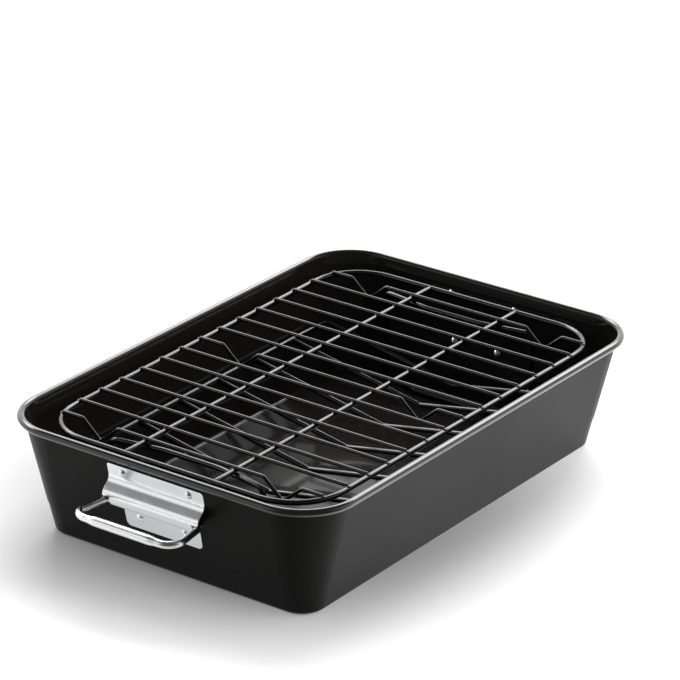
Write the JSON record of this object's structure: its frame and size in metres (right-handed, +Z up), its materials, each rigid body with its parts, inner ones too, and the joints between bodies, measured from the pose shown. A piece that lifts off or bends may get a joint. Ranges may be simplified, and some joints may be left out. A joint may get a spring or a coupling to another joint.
{
  "type": "roasting pan with rack",
  "caption": "Deep non-stick roasting pan with rolled rim and swinging bail handles, a wire V-rack standing in it and a flat wire rack lying on the V-rack",
  "frame": {"origin": "middle of the pan's base, on the surface it stands on", "axes": "+X along the pan to the far handle, +Y to the left long wall seen from the near handle, +Z up; rest has both racks in the pan and both bails held out level"},
  "size_m": [0.5018, 0.2946, 0.096],
  "materials": {
    "nonstick": "smooth near-black non-stick coating on steel sheet, soft gloss",
    "rim_steel": "plain drawn steel wire, hidden inside the rolled rim",
    "handle_steel": "bright satin stainless steel",
    "coated_wire": "glossy black non-stick coating on steel wire"
  },
  "bodies": {
    "pan": {"pan_shell": "nonstick", "rim_wire": "rim_steel", "near_handle_bracket": "handle_steel", "far_handle_bracket": "handle_steel", "near_handle_rivets": "handle_steel", "far_handle_rivets": "handle_steel"},
    "near_bail": {"near_handle_bail": "handle_steel"},
    "far_bail": {"far_handle_bail": "handle_steel"},
    "v_rack": {"v_rack_rim": "coated_wire", "v_rack_near_end_frame": "coated_wire", "v_rack_far_end_frame": "coated_wire", "v_rack_cross_wire_1": "coated_wire", "v_rack_cross_wire_2": "coated_wire", "v_rack_cross_wire_3": "coated_wire", "v_rack_cross_wire_4": "coated_wire", "v_rack_cross_wire_5": "coated_wire", "v_rack_cross_wire_6": "coated_wire"},
    "flat_rack": {"flat_rack_rim": "coated_wire", "flat_rack_left_bar": "coated_wire", "flat_rack_right_bar": "coated_wire", "flat_rack_near_foot_wire": "coated_wire", "flat_rack_middle_foot_wire": "coated_wire", "flat_rack_far_foot_wire": "coated_wire", "flat_rack_cross_wire_1": "coated_wire", "flat_rack_cross_wire_2": "coated_wire", "flat_rack_cross_wire_3": "coated_wire", "flat_rack_cross_wire_4": "coated_wire", "flat_rack_cross_wire_5": "coated_wire", "flat_rack_cross_wire_6": "coated_wire", "flat_rack_cross_wire_7": "coated_wire", "flat_rack_cross_wire_8": "coated_wire", "flat_rack_cross_wire_9": "coated_wire", "flat_rack_cross_wire_10": "coated_wire", "flat_rack_cross_wire_11": "coated_wire", "flat_rack_cross_wire_12": "coated_wire"}
  },
  "joints": [
    {"name": "near_bail_swing", "type": "hinge", "parent": "pan", "child": "near_bail", "pos_m": [-0.21108, 0, 0.0585], "axis": [0, 1, 0], "range_deg": [-90, 0]},
    {"name": "far_bail_swing", "type": "hinge", "parent": "pan", "child": "far_bail", "pos_m": [0.21108, 0, 0.0585], "axis": [0, -1, 0], "range_deg": [-90, 0]},
    {"name": "v_rack_lift", "type": "slide", "parent": "pan", "child": "v_rack", "axis": [0, 0, 1], "range_m": [0, 0.1154]},
    {"name": "flat_rack_lift", "type": "slide", "parent": "v_rack", "child": "flat_rack", "axis": [0, 0, 1], "range_m": [0, 0.0832]}
  ]
}
